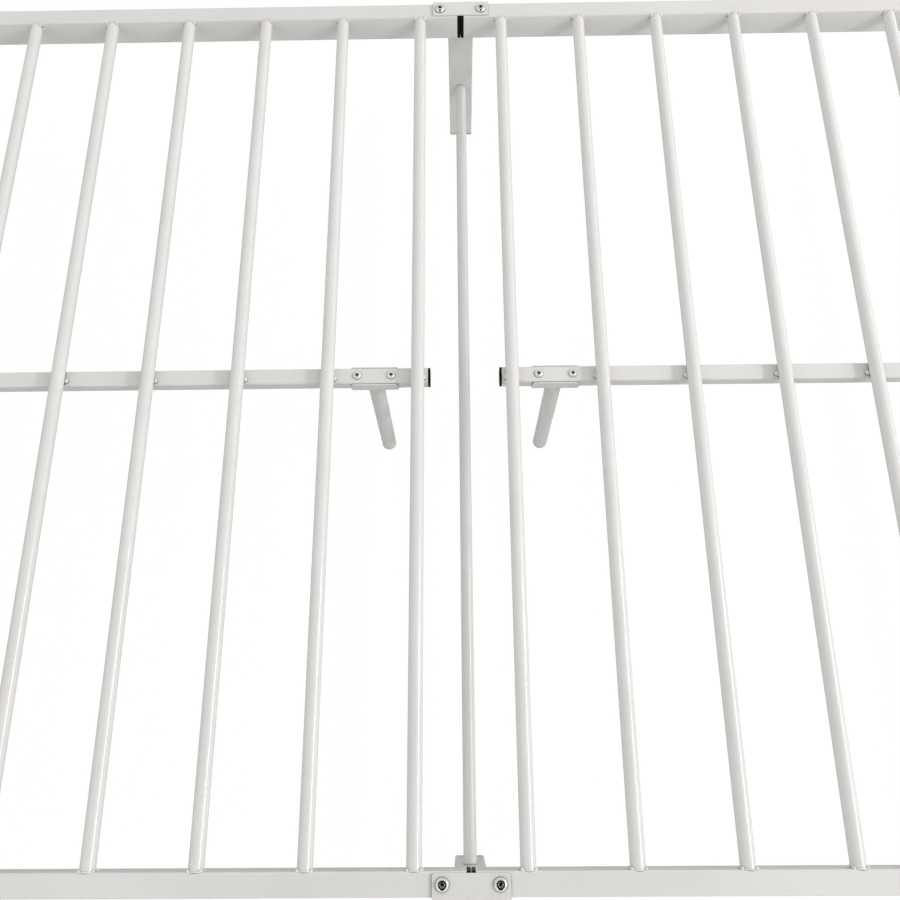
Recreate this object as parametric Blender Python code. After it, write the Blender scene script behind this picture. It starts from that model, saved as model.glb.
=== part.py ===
"""Slatted steel bed base: two welded half decks on a centre leg frame, mid legs and corner legs.

The deck is two mirrored halves that meet at X = 0. Each half is a frame of two side rails
and an end rail, mitred at the corners, with seven round slats and a middle beam under the
slats. L-shaped plates are bolted on the rails over the joint. They carry the centre leg
frame: two legs and a low stretcher. A saddle screwed under each middle beam carries a
round leg, and each outer corner has a leg of its own.

+X runs along the bed, +Y to the back rail, +Z up. The origin is on the floor, under the
middle of the deck. Metres throughout.
"""
from math import cos, pi, radians, sin

import bmesh
import bpy

# Deck
DECK_HEIGHT = 0.320
HALF_LENGTH = 1.035
INNER_WIDTH = 1.369
GAP = 0.0003

# Side rails and end rails
RAIL_WIDTH = 0.030
RAIL_HEIGHT = 0.050
RAIL_CORNER = 0.003
RAIL_WALL = 0.0015
CAP_THICKNESS = 0.005
CAP_SETBACK = 0.0004
CAP_PLUG_DEPTH = 0.014

# Slats
SLATS_PER_HALF = 7
SLAT_PITCH = 0.137
FIRST_SLAT = 0.0715
SLAT_DIAMETER = 0.020
SLAT_WALL = 0.0012
SLAT_SIDES = 20

# Middle beam under the slats, with its saddle, screws and leg
BEAM_WIDTH = 0.025
BEAM_HEIGHT = 0.020
BEAM_CORNER = 0.0022
BEAM_WALL = 0.0012
BEAM_END = 0.0528
BEAM_CAP_THICKNESS = 0.004
SADDLE_CENTRE = 0.1385
SADDLE_LENGTH = 0.072
SADDLE_THICKNESS = 0.0022
SADDLE_DROP = 0.002
SADDLE_CHAMFER = 0.0035
SCREW_SPACING = 0.052
SCREW_HEAD = 0.0125
SCREW_HEAD_HEIGHT = 0.0032
SCREW_SHANK = 0.005
SCREW_KEY = 0.0045
SCREW_TIP = 0.002
MID_LEG_DIAMETER = 0.025
MID_LEG_WALL = 0.0015
MID_FOOT_THICKNESS = 0.004
ROUND_SIDES = 24

# Centre leg frame and corner legs
LEG_WIDTH = 0.045
LEG_DEPTH = 0.020
LEG_CORNER = 0.0025
LEG_WALL = 0.0015
FOOT_THICKNESS = 0.003
STRETCHER_DIAMETER = 0.019
STRETCHER_WALL = 0.0012
STRETCHER_HEIGHT = 0.135

# Plates over the joint, and their bolts
PLATE_LENGTH = 0.098
PLATE_THICKNESS = 0.0025
PLATE_INSET = 0.002
PLATE_CORNER = 0.004
PLATE_DROP_AT_ENDS = 0.038
PLATE_DROP_AT_LEG = 0.076
BOLT_SPACING = 0.072
BOLT_HEAD = 0.0175
BOLT_HEAD_HEIGHT = 0.0042
BOLT_SHANK = 0.008
BOLT_LENGTH = 0.020
BOLT_KEY = 0.006
BOLT_SIDES = 12
HOLE_CLEARANCE = 0.0006

RAIL_INNER_FACE = INNER_WIDTH / 2
RAIL_CENTRE = RAIL_INNER_FACE + RAIL_WIDTH / 2
RAIL_OUTER_FACE = RAIL_INNER_FACE + RAIL_WIDTH
RAIL_AXIS_HEIGHT = DECK_HEIGHT - RAIL_HEIGHT / 2
LEG_CENTRE = RAIL_OUTER_FACE - LEG_DEPTH / 2
CORNER_LEG_CENTRE = HALF_LENGTH - LEG_WIDTH / 2
BEAM_TOP = DECK_HEIGHT - SLAT_DIAMETER - GAP
BEAM_BOTTOM = BEAM_TOP - BEAM_HEIGHT
SADDLE_BOTTOM = BEAM_BOTTOM - GAP - SADDLE_THICKNESS

SIDES = {"left": -1, "right": 1}
ROWS = {"front": -1, "back": 1}


def clear_scene():
    for item in list(bpy.data.objects):
        bpy.data.objects.remove(item, do_unlink=True)


def make_material(name, colour, roughness, metallic=0.0):
    material = bpy.data.materials.new(name)
    material.use_nodes = True
    shader = material.node_tree.nodes["Principled BSDF"]
    shader.inputs["Base Color"].default_value = (*colour, 1.0)
    shader.inputs["Roughness"].default_value = roughness
    shader.inputs["Metallic"].default_value = metallic
    return material


# ---------------------------------------------------------------- sections and solids

def circle(diameter, sides):
    """Points round a circle, anticlockwise."""
    radius = diameter / 2
    angles = [2 * pi * step / sides for step in range(sides)]
    return [(radius * cos(angle), radius * sin(angle)) for angle in angles]


def hexagon(across_flats, sides):
    """Points round a hexagon, in as many directions as a circle's points."""
    points = []
    for step in range(sides):
        angle = 2 * pi * step / sides
        from_flat = (angle + pi / 6) % (pi / 3) - pi / 6
        radius = across_flats / 2 / cos(from_flat)
        points.append((radius * cos(angle), radius * sin(angle)))
    return points


def rounded_rectangle(width, height, corner, steps=3):
    """Points round a rectangle with arcs at its corners, anticlockwise."""
    points = []
    for across, up, start in ((1, 1, 0), (-1, 1, 90), (-1, -1, 180), (1, -1, 270)):
        for step in range(steps + 1):
            angle = radians(start + 90 * step / steps)
            points.append((
                across * (width / 2 - corner) + corner * cos(angle),
                up * (height / 2 - corner) + corner * sin(angle),
            ))
    return points


def along(axis, across, up, distance):
    """The point (across, up) of a section that stands at a distance along an axis."""
    if axis == "X":
        return (distance, across, up)
    if axis == "Y":
        return (across, distance, up)
    return (across, up, distance)


def loft(axis, rings, hollow=False, mitres=None):
    """Vertices and faces of a solid through rings, each a section and its distance.

    A hollow loft closes on its first ring, as a tube does. Any other is capped. Mitres
    give the slope, across the section, that the rings at a distance are cut at.
    """
    sides = len(rings[0][0])
    slopes = mitres or {}
    verts = []
    for section, distance in rings:
        slope = slopes.get(distance, 0.0)
        for across, up in section:
            verts.append(along(axis, across, up, distance + slope * across))
    faces = []
    count = len(rings)
    for ring in range(count if hollow else count - 1):
        first = ring * sides
        second = (ring + 1) % count * sides
        for side in range(sides):
            after = (side + 1) % sides
            faces.append((first + side, first + after, second + after, second + side))
    if not hollow:
        faces.append(tuple(range(sides)))
        faces.append(tuple(range((count - 1) * sides, count * sides)))
    return verts, faces


def tube(axis, start, end, outer, bore, mitres=None):
    rings = [(outer, start), (outer, end), (bore, end), (bore, start)]
    return loft(axis, rings, hollow=True, mitres=mitres)


def add_object(name, solid, material, location, parent):
    """One object from a loft, shaded smooth between its edges."""
    verts, faces = solid
    mesh = bpy.data.meshes.new(name)
    mesh.from_pydata(verts, [], faces)
    bm = bmesh.new()
    bm.from_mesh(mesh)
    bmesh.ops.recalc_face_normals(bm, faces=bm.faces)
    bm.to_mesh(mesh)
    bm.free()
    mesh.shade_smooth()
    mesh.set_sharp_from_angle(angle=radians(35))
    mesh.materials.append(material)
    item = bpy.data.objects.new(name, mesh)
    item.location = location
    item.parent = parent
    bpy.context.collection.objects.link(item)
    return item


def add_group(name, parent=None):
    group = bpy.data.objects.new(name, None)
    group.parent = parent
    bpy.context.collection.objects.link(group)
    return group


def push_in_cap(axis, flange, plug, toward, thickness):
    """A plastic plug. Its face is at 0 and it goes into the tube toward +1 or -1."""
    softened = [(0.94 * across, 0.94 * up) for across, up in flange]
    tip = [(0.95 * across, 0.95 * up) for across, up in plug]
    rings = [
        (softened, 0.0),
        (flange, toward * 0.2 * thickness),
        (flange, toward * thickness),
        (plug, toward * thickness),
        (plug, toward * (thickness + 0.7 * CAP_PLUG_DEPTH)),
        (tip, toward * (thickness + CAP_PLUG_DEPTH)),
    ]
    return loft(axis, rings)


def section_pair(width, height, corner, wall):
    """The outside of a rectangular tube, its bore, and a plug that fits the bore."""
    outer = rounded_rectangle(width, height, corner)
    bore = rounded_rectangle(width - 2 * wall, height - 2 * wall, corner - wall)
    inside = 2 * (wall + GAP)
    plug = rounded_rectangle(width - inside, height - inside, corner - wall)
    return outer, bore, plug


RAIL_SECTIONS = section_pair(RAIL_WIDTH, RAIL_HEIGHT, RAIL_CORNER, RAIL_WALL)
BEAM_SECTIONS = section_pair(BEAM_WIDTH, BEAM_HEIGHT, BEAM_CORNER, BEAM_WALL)
LEG_SECTIONS = section_pair(LEG_WIDTH, LEG_DEPTH, LEG_CORNER, LEG_WALL)


# ---------------------------------------------------------------- fasteners and their holes

def socket_bolt(head, head_height, shank, length, key):
    """A low domed head with a hexagon socket, on a plain shank that points down."""
    rings = [
        (hexagon(key, BOLT_SIDES), 0.4 * head_height),
        (hexagon(key, BOLT_SIDES), head_height),
        (circle(0.55 * head, BOLT_SIDES), head_height),
        (circle(0.82 * head, BOLT_SIDES), 0.78 * head_height),
        (circle(head, BOLT_SIDES), 0.3 * head_height),
        (circle(head, BOLT_SIDES), 0.0),
        (circle(shank, BOLT_SIDES), 0.0),
        (circle(shank, BOLT_SIDES), -length),
    ]
    return loft("Z", rings)


def hole_cutter(name, place, diameter, low, high):
    """An upright peg that cuts the hole for a bolt or a screw."""
    section = circle(diameter, BOLT_SIDES)
    solid = loft("Z", [(section, low), (section, high)])
    cutter = add_object(name, solid, MATERIALS["nickel"], (*place, 0.0), None)
    cutter.hide_render = True
    cutter.display_type = "WIRE"
    return cutter


def cut_with(item, cutters):
    for cutter in cutters:
        cut = item.modifiers.new("hole", "BOOLEAN")
        cut.operation = "DIFFERENCE"
        cut.solver = "EXACT"
        cut.object = cutter


def add_plate_bolts(row_name, row, parent):
    """Two bolts through a plate into the rails, left and right of the joint, and their pegs."""
    seat = DECK_HEIGHT + 2 * GAP + PLATE_THICKNESS
    pegs = {}
    for label, side in SIDES.items():
        place = (side * BOLT_SPACING / 2, row * RAIL_CENTRE)
        bolt = socket_bolt(BOLT_HEAD, BOLT_HEAD_HEIGHT, BOLT_SHANK, BOLT_LENGTH, BOLT_KEY)
        name = f"{row_name}_plate_bolt_{label}"
        add_object(name, bolt, MATERIALS["nickel"], (*place, seat), parent)
        low = DECK_HEIGHT - RAIL_HEIGHT / 2
        high = DECK_HEIGHT + RAIL_HEIGHT / 2
        diameter = BOLT_SHANK + HOLE_CLEARANCE
        pegs[label] = hole_cutter(f"peg_{row_name}_{label}", place, diameter, low, high)
    return pegs


def add_saddle_screws(label, side, parent):
    """Two screws through the middle beam into the saddle, and the pegs for their holes."""
    seat = BEAM_TOP + GAP
    length = seat - SADDLE_BOTTOM + SCREW_TIP
    pegs = []
    for end, toward in (("inner", -1), ("outer", 1)):
        place = (side * (SADDLE_CENTRE + toward * SCREW_SPACING / 2), 0.0)
        screw = socket_bolt(SCREW_HEAD, SCREW_HEAD_HEIGHT, SCREW_SHANK, length, SCREW_KEY)
        name = f"{label}_saddle_screw_{end}"
        add_object(name, screw, MATERIALS["nickel"], (*place, seat), parent)
        low = SADDLE_BOTTOM - SCREW_TIP
        high = BEAM_TOP + SCREW_TIP
        diameter = SCREW_SHANK + HOLE_CLEARANCE
        pegs.append(hole_cutter(f"peg_{label}_{end}", place, diameter, low, high))
    return pegs


# ---------------------------------------------------------------- half decks

def add_side_rail(name, side, row, peg, parent):
    outer, bore, _ = RAIL_SECTIONS
    start = side * (CAP_SETBACK + CAP_THICKNESS + GAP)
    end = side * (HALF_LENGTH - RAIL_WIDTH / 2 - GAP)
    solid = tube("X", start, end, outer, bore, mitres={end: side * row})
    place = (0, row * RAIL_CENTRE, RAIL_AXIS_HEIGHT)
    rail = add_object(name, solid, MATERIALS["white"], place, parent)
    cut_with(rail, [peg])


def add_rail_cap(name, side, row, parent):
    outer, _, plug = RAIL_SECTIONS
    cap = push_in_cap("X", outer, plug, side, CAP_THICKNESS)
    place = (side * CAP_SETBACK, row * RAIL_CENTRE, RAIL_AXIS_HEIGHT)
    add_object(name, cap, MATERIALS["black"], place, parent)


def add_end_rail(label, side, parent):
    outer, bore, _ = RAIL_SECTIONS
    half_span = RAIL_CENTRE - GAP
    mitres = {half_span: side, -half_span: -side}
    solid = tube("Y", -half_span, half_span, outer, bore, mitres=mitres)
    place = (side * (HALF_LENGTH - RAIL_WIDTH / 2), 0, RAIL_AXIS_HEIGHT)
    add_object(f"{label}_end_rail", solid, MATERIALS["white"], place, parent)


def add_slats(label, side, parent):
    outer = circle(SLAT_DIAMETER, SLAT_SIDES)
    bore = circle(SLAT_DIAMETER - 2 * SLAT_WALL, SLAT_SIDES)
    half_span = RAIL_INNER_FACE - GAP
    height = DECK_HEIGHT - SLAT_DIAMETER / 2
    for number in range(SLATS_PER_HALF):
        x = side * (FIRST_SLAT + number * SLAT_PITCH)
        solid = tube("Y", -half_span, half_span, outer, bore)
        name = f"{label}_slat_{number + 1}"
        add_object(name, solid, MATERIALS["white"], (x, 0, height), parent)


def add_middle_beam(label, side, pegs, parent):
    outer, bore, plug = BEAM_SECTIONS
    start = side * (BEAM_END + BEAM_CAP_THICKNESS + GAP)
    end = side * (HALF_LENGTH - RAIL_WIDTH - GAP)
    height = BEAM_TOP - BEAM_HEIGHT / 2
    solid = tube("X", start, end, outer, bore)
    beam = add_object(f"{label}_mid_beam", solid, MATERIALS["white"], (0, 0, height), parent)
    cut_with(beam, pegs)
    cap = push_in_cap("X", outer, plug, side, BEAM_CAP_THICKNESS)
    place = (side * BEAM_END, 0, height)
    add_object(f"{label}_mid_beam_cap", cap, MATERIALS["black"], place, parent)


def saddle_section(flange_top):
    """A U that is open at the top. The upper face of its base is at 0."""
    inside = BEAM_WIDTH / 2 + GAP
    outside = inside + SADDLE_THICKNESS
    bend = 0.8 * SADDLE_THICKNESS
    half = [
        (inside, 0.0),
        (inside, flange_top),
        (outside, flange_top),
        (outside, bend - SADDLE_THICKNESS),
        (outside - 0.3 * bend, 0.3 * bend - SADDLE_THICKNESS),
        (outside - bend, -SADDLE_THICKNESS),
    ]
    mirrored = [(-across, up) for across, up in reversed(half)]
    return half + mirrored


def add_saddle(label, side, pegs, parent):
    top = BEAM_HEIGHT + GAP - SADDLE_DROP
    low = top - SADDLE_CHAMFER
    half = SADDLE_LENGTH / 2
    rings = [
        (saddle_section(low), -half),
        (saddle_section(top), -half + SADDLE_CHAMFER),
        (saddle_section(top), half - SADDLE_CHAMFER),
        (saddle_section(low), half),
    ]
    place = (side * SADDLE_CENTRE, 0, BEAM_BOTTOM - GAP)
    name = f"{label}_leg_saddle"
    saddle = add_object(name, loft("X", rings), MATERIALS["white"], place, parent)
    cut_with(saddle, pegs)


def add_mid_leg(label, side, parent):
    outer = circle(MID_LEG_DIAMETER, ROUND_SIDES)
    bore = circle(MID_LEG_DIAMETER - 2 * MID_LEG_WALL, ROUND_SIDES)
    place = (side * SADDLE_CENTRE, 0, 0)
    leg = tube("Z", MID_FOOT_THICKNESS + GAP, SADDLE_BOTTOM - GAP, outer, bore)
    add_object(f"{label}_mid_leg", leg, MATERIALS["white"], place, parent)
    plug = circle(MID_LEG_DIAMETER - 2 * (MID_LEG_WALL + GAP), ROUND_SIDES)
    foot = push_in_cap("Z", outer, plug, 1, MID_FOOT_THICKNESS)
    add_object(f"{label}_mid_foot", foot, MATERIALS["grey"], place, parent)


def add_half_deck(label, side, bolt_pegs, parent):
    group = add_group(f"{label}_half", parent)
    screw_pegs = add_saddle_screws(label, side, group)
    for row_name, row in ROWS.items():
        peg = bolt_pegs[row_name][label]
        add_side_rail(f"{label}_{row_name}_side_rail", side, row, peg, group)
        add_rail_cap(f"{label}_{row_name}_rail_cap", side, row, group)
        corner = (side * CORNER_LEG_CENTRE, row * LEG_CENTRE)
        add_leg(f"{label}_{row_name}_corner", corner, group)
    add_end_rail(label, side, group)
    add_slats(label, side, group)
    add_middle_beam(label, side, screw_pegs, group)
    add_saddle(label, side, screw_pegs, group)
    add_mid_leg(label, side, group)
    add_stretcher(f"{label}_end_stretcher", side * CORNER_LEG_CENTRE, group)


# ---------------------------------------------------------------- legs and the centre frame

def add_leg(label, place, parent):
    """A rectangular leg under a rail, with a plastic foot plugged into its lower end."""
    outer, bore, plug = LEG_SECTIONS
    top = DECK_HEIGHT - RAIL_HEIGHT - GAP
    leg = tube("Z", FOOT_THICKNESS + GAP, top, outer, bore)
    add_object(f"{label}_leg", leg, MATERIALS["white"], (*place, 0), parent)
    foot = push_in_cap("Z", outer, plug, 1, FOOT_THICKNESS)
    add_object(f"{label}_foot", foot, MATERIALS["black"], (*place, 0), parent)


def add_stretcher(name, x, parent):
    """A low round tube between a front leg and a back leg."""
    outer = circle(STRETCHER_DIAMETER, SLAT_SIDES)
    bore = circle(STRETCHER_DIAMETER - 2 * STRETCHER_WALL, SLAT_SIDES)
    half_span = LEG_CENTRE - LEG_DEPTH / 2 - GAP
    solid = tube("Y", -half_span, half_span, outer, bore)
    add_object(name, solid, MATERIALS["white"], (x, 0, STRETCHER_HEIGHT), parent)


def plate_section(row, inset, drop):
    """An L over a rail's top and outer face, seen along X from the rail's inner face."""
    top = GAP + PLATE_THICKNESS
    inside = RAIL_WIDTH + GAP
    outside = inside + PLATE_THICKNESS
    bend = 1.2 * PLATE_THICKNESS
    points = [(inset, GAP), (inset, top)]
    for step in range(4):
        angle = radians(90 - 30 * step)
        points.append((outside - bend + bend * cos(angle), top - bend + bend * sin(angle)))
    points += [(outside, -drop), (inside, -drop), (inside, GAP)]
    return [(row * across, up) for across, up in points]


def plate_stations():
    """X, inset and drop along a plate: round corners on top, sloping ends outside."""
    half = PLATE_LENGTH / 2
    leg_edge = LEG_WIDTH / 2
    stations = []
    for step in range(4):
        angle = radians(30 * step)
        x = half - PLATE_CORNER + PLATE_CORNER * cos(angle)
        inset = PLATE_INSET + PLATE_CORNER * (1 - sin(angle))
        slope = (half - x) / (half - leg_edge)
        drop = PLATE_DROP_AT_ENDS + slope * (PLATE_DROP_AT_LEG - PLATE_DROP_AT_ENDS)
        stations.append((x, inset, drop))
    stations.append((leg_edge, PLATE_INSET, PLATE_DROP_AT_LEG))
    mirrored = [(-x, inset, drop) for x, inset, drop in reversed(stations)]
    return stations + mirrored


def add_plate(name, row, pegs, parent):
    rings = [(plate_section(row, inset, drop), x) for x, inset, drop in plate_stations()]
    place = (0, row * RAIL_INNER_FACE, DECK_HEIGHT)
    plate = add_object(name, loft("X", rings), MATERIALS["white"], place, parent)
    cut_with(plate, pegs)


def add_centre_frame(parent):
    """The plates, legs and stretcher under the joint. Returns the pegs for the bolt holes."""
    group = add_group("centre_frame", parent)
    bolt_pegs = {}
    for row_name, row in ROWS.items():
        bolt_pegs[row_name] = add_plate_bolts(row_name, row, group)
        add_plate(f"{row_name}_joint_plate", row, bolt_pegs[row_name].values(), group)
        add_leg(f"{row_name}_centre", (0, row * LEG_CENTRE), group)
    add_stretcher("centre_stretcher", 0, group)
    return bolt_pegs


clear_scene()
MATERIALS = {
    "white": make_material("white_powder_coat", (0.78, 0.77, 0.74), 0.42),
    "black": make_material("black_plastic", (0.015, 0.015, 0.016), 0.5),
    "grey": make_material("pale_plastic", (0.62, 0.61, 0.58), 0.55),
    "nickel": make_material("nickel_plate", (0.62, 0.61, 0.58), 0.22, 1.0),
}
bed = add_group("bed_base")
plate_pegs = add_centre_frame(bed)
for side_label, side_sign in SIDES.items():
    add_half_deck(side_label, side_sign, plate_pegs, bed)
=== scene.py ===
"""Looks for a slatted steel bed base: fine meshes round its CAD frame, welds, finishes, studio.

Every CAD node is replaced by a finer piece in the same place. The pieces are skins stretched
over rings of points: tubes with soft cut ends, bent sheets, domed bolt heads and moulded
plugs. The welds that join the tubes are pieces of their own.

Lengths are metres in the row frame: +X along the bed, +Y to the back rail, +Z up. Places
and sizes come from the CAD nodes' boxes. The constants give what the boxes don't. A side is
-1 for the left half and 1 for the right half, and a row is -1 at the front and 1 at the back.
"""
from math import cos, pi, radians, sin, sqrt
import random

import bmesh
import bpy
from mathutils import Matrix, Vector


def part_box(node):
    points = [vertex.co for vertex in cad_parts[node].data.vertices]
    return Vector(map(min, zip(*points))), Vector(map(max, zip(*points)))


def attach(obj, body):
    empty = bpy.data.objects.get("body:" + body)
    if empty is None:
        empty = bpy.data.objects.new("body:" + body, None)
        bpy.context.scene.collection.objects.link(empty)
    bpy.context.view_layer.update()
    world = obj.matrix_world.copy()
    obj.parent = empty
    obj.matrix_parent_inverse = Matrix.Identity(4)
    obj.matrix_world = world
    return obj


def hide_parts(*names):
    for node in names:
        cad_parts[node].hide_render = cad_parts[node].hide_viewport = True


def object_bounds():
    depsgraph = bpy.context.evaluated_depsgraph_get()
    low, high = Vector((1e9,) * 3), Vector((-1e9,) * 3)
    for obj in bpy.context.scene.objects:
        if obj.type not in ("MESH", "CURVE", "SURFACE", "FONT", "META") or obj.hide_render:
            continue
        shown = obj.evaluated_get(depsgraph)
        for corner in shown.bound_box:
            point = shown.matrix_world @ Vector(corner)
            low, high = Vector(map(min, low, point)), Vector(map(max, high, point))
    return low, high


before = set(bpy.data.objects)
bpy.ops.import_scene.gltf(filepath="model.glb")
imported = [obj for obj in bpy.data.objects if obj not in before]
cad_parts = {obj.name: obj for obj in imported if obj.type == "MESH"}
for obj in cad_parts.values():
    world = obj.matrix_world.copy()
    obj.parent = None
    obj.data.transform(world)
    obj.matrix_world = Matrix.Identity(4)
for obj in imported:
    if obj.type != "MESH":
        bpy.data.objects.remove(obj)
CAD_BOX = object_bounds()

SIDES = {"left": -1, "right": 1}
ROWS = {"front": -1, "back": 1}
SLATS_PER_HALF = 7

# Tubes
ROUND_SIDES = 48
CORNER_STEPS = 6
LEAST_CORNER = 0.0003
CUT_EDGE = 0.00025
TOUCH = 0.0003  # the CAD's gap between two solids, which finer pieces close
RAIL_CORNER = 0.003
RAIL_WALL = 0.0015
BEAM_CORNER = 0.0022
BEAM_OVERLAP = 0.0008  # how far the beam's tube stands over the edge of its cap
LEG_CORNER = 0.0026
THIN_WALL = 0.0012
FOOT_FLANGE = 0.002

# Plugs: shares of the flange's thickness, of the tube's wall, and of the plug's depth
PLUG_EDGE = 0.22
PLUG_DISH = 0.12
DISH_WALLS = (3.2, 2.6)
PLUG_STRAIGHT = 0.8
PLUG_TAPER = 0.5
ARC_MIDDLE = 0.3  # how far in the middle of a rounded edge lies, as a share of its radius

# Bent sheet
PLATE_THICKNESS = 0.0025
PLATE_BEND = 0.003
PLATE_CORNER = 0.004
PLATE_END_DROP = 0.038  # how far the outer flange keeps its full length before it narrows
PLATE_FOOT_HALF = 0.0225  # half the flange's length at its foot
PLATE_SLOPE_START = 0.003
SADDLE_THICKNESS = 0.0022
SADDLE_BEND = 0.0026
SADDLE_CHAMFER = 0.0035
SHEET_EDGE = 0.0004
SHEET_COLUMNS = 8
BEND_STEPS = 6

# Fasteners: diameters, the head's height, and the width of the socket's key
PLATE_BOLT = {"head": 0.0175, "land": 0.0103, "height": 0.0042, "shank": 0.008, "key": 0.006}
SADDLE_SCREW = {"head": 0.0125, "land": 0.0088, "height": 0.0032, "shank": 0.005, "key": 0.005}
DOME_SLOPES = (10, 62)  # degrees, where the dome leaves the land and where it ends
DOME_STEPS = 9
DOME_FOOT = 0.30  # as a share of the head's height, as is the next
HEAD_FOOT = 0.08
HEAD_CHAMFER = 0.0003
SHANK_CHAMFER = 0.0005

# Weld beads. What is called chance is what a welder's hand varies.
BEAD_SIDES = 12
BEAD_END_POWER = 4  # the higher, the blunter a bead's ends
BEAD_END_AREA = 0.05
RIPPLE_LENGTH = 0.0016
RIPPLE_DEPTH = 0.05
RIPPLE_CHANCE = 0.04

# Welds at a slat's ends, with angles in degrees
SLAT_FILLET = 0.0011
SLAT_BEAD = 0.0033
SLAT_BEADS = ((37, 17), (-22, 24))  # angle above level, and half of the bead's reach
SLAT_BEAD_STEPS = 14
SLAT_AIM_CHANCE = 6
SLAT_REACH_CHANCE = (0.8, 1.15)
SLAT_WIDTH_CHANCE = (0.85, 1.15)

# Tacks between the slats and the middle beam
TACK_LENGTH = 0.0078
TACK_RADIUS = 0.0040
TACK_SPREAD = 1.3
TACK_STEPS = 10
TACK_END_AREA = 0.03
TACK_CHANCE = (0.94, 1.06)
TACK_OUT = 0.84  # as a share of the slat's radius
TACK_OUT_CHANCE = 0.0004
TACK_FORWARD = 0.005
TACK_FORWARD_CHANCE = 0.001
TACK_UP = 0.0022

# Welds on legs, plates and mitres, with angles in degrees
RING_BEAD = 0.0013
STRETCHER_BEADS = (-20, 200)
STRETCHER_BEAD_REACH = 38
STRETCHER_BEAD_STEPS = 24
SEAM_BEAD = 0.0013
DRESSED_BEAD = 0.0009
DRESSED_SUNK = 0.0005
LEG_BEAD = 0.0021
LEG_BEAD_SUNK = 0.0009
PLATE_BEAD_START = 0.004
PLATE_BEAD_END = 0.002

# Mesh finish
FLAT_ANGLE = radians(50)
BEVEL_STEPS = 3

# Materials
NOISE_RANGE = (0.3, 0.7)  # where most of a noise texture's values lie
# painted shade in crevices: how far its darkening fades, and its samples
CREVICE_BLEND = 0.45
CREVICE_SAMPLES = 8

# Camera, against the middle of the deck's top, with angles in radians
CAMERA_PLACE = Vector((-0.0090, -0.5625, 1.2030))
CAMERA_TILT = 0.3457
CAMERA_ROLL = -0.0409
CAMERA_YAW = 0.0327
CAMERA_LENS = 35.17
CAMERA_SENSOR = 36.0
CAMERA_CLIP = (0.05, 60.0)

# Studio
WHITE = (1, 1, 1, 1)
PAPER_STRENGTH = 1.08  # just past white on screen
FLOOR_HALF = 25.0
FLOOR_BELOW = 0.0002
FLOOR_GREY = (0.55, 0.55, 0.55, 1)
FLOOR_ROUGHNESS = 0.9
FLOOR_WHITENING = 0.88  # how much of the floor's own shade the white covers
SKY_BACK = 0.83
SKY_FRONT = 1.28
SKY_OVERHEAD = 0.02
KEY_LIGHT = {
    "place": (3.7, -0.5, 2.75), "aim": (0, 0.2, 0.3), "width": 2.6, "height": 0.4, "power": 64,
}
STRIP_LIGHT = {
    "place": (3.6, 2.6, 1.75), "aim": (0, 2.6, 0.3), "width": 5.2, "height": 0.5, "power": 22,
}

chance = random.Random(20)


# ---------------------------------------------------------------- outlines

def circle(diameter):
    """Points round a circle, anticlockwise."""
    angles = [2 * pi * step / ROUND_SIDES for step in range(ROUND_SIDES)]
    return [(diameter / 2 * cos(angle), diameter / 2 * sin(angle)) for angle in angles]


def hexagon(across_flats):
    """Points round a hexagon, in the same directions as a circle's points."""
    points = []
    for step in range(ROUND_SIDES):
        angle = 2 * pi * step / ROUND_SIDES
        from_flat = (angle + pi / 6) % (pi / 3) - pi / 6
        reach = across_flats / 2 / cos(from_flat)
        points.append((reach * cos(angle), reach * sin(angle)))
    return points


def rounded_rectangle(width, height, corner):
    """Points round a rectangle with arcs at its corners, anticlockwise."""
    points = []
    for across, up, start in ((1, 1, 0), (-1, 1, 90), (-1, -1, 180), (1, -1, 270)):
        for step in range(CORNER_STEPS + 1):
            angle = radians(start + 90 * step / CORNER_STEPS)
            points.append((
                across * (width / 2 - corner) + corner * cos(angle),
                up * (height / 2 - corner) + corner * sin(angle),
            ))
    return points


def round_outline(diameter):
    """A function that gives the circle's outline, drawn in by an inset."""
    return lambda inset: circle(diameter - 2 * inset)


def box_outline(width, height, corner):
    """A function that gives the rounded rectangle's outline, drawn in by an inset."""
    def outline(inset):
        left_over = max(corner - inset, LEAST_CORNER)
        return rounded_rectangle(width - 2 * inset, height - 2 * inset, left_over)
    return outline


# ---------------------------------------------------------------- skins over rings

def along(axis, across, up, distance):
    """The point (across, up) of a section that stands at a distance along an axis."""
    if axis == "X":
        return Vector((distance, across, up))
    if axis == "Y":
        return Vector((across, distance, up))
    return Vector((across, up, distance))


def skin(rings, joined=False):
    """Points and faces of a skin over rings. A joined skin closes on its first ring."""
    sides = len(rings[0])
    count = len(rings)
    faces = []
    for ring in range(count if joined else count - 1):
        first = ring * sides
        second = (ring + 1) % count * sides
        for side in range(sides):
            after = (side + 1) % sides
            faces.append((first + side, first + after, second + after, second + side))
    if not joined:
        faces.append(tuple(range(sides)))
        faces.append(tuple(range((count - 1) * sides, count * sides)))
    return [point for ring in rings for point in ring], faces


def stack(axis, sections, place):
    """A closed solid through (outline, distance) pairs along an axis through a place."""
    rings = []
    for outline, distance in sections:
        rings.append([along(axis, across, up, distance) + place for across, up in outline])
    return skin(rings)


def tube(axis, start, end, outline, wall, place, mitres=(0.0, 0.0)):
    """A hollow tube with soft edges at its cut ends. A mitre is a slope across the end."""
    toward = CUT_EDGE if end > start else -CUT_EDGE
    sections = (
        (outline(CUT_EDGE), start, mitres[0]),
        (outline(0), start + toward, mitres[0]),
        (outline(0), end - toward, mitres[1]),
        (outline(CUT_EDGE), end, mitres[1]),
        (outline(wall), end, mitres[1]),
        (outline(wall), start, mitres[0]),
    )
    rings = []
    for section, distance, slope in sections:
        rings.append([
            along(axis, across, up, distance + slope * across) + place
            for across, up in section
        ])
    return skin(rings, joined=True)


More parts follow.
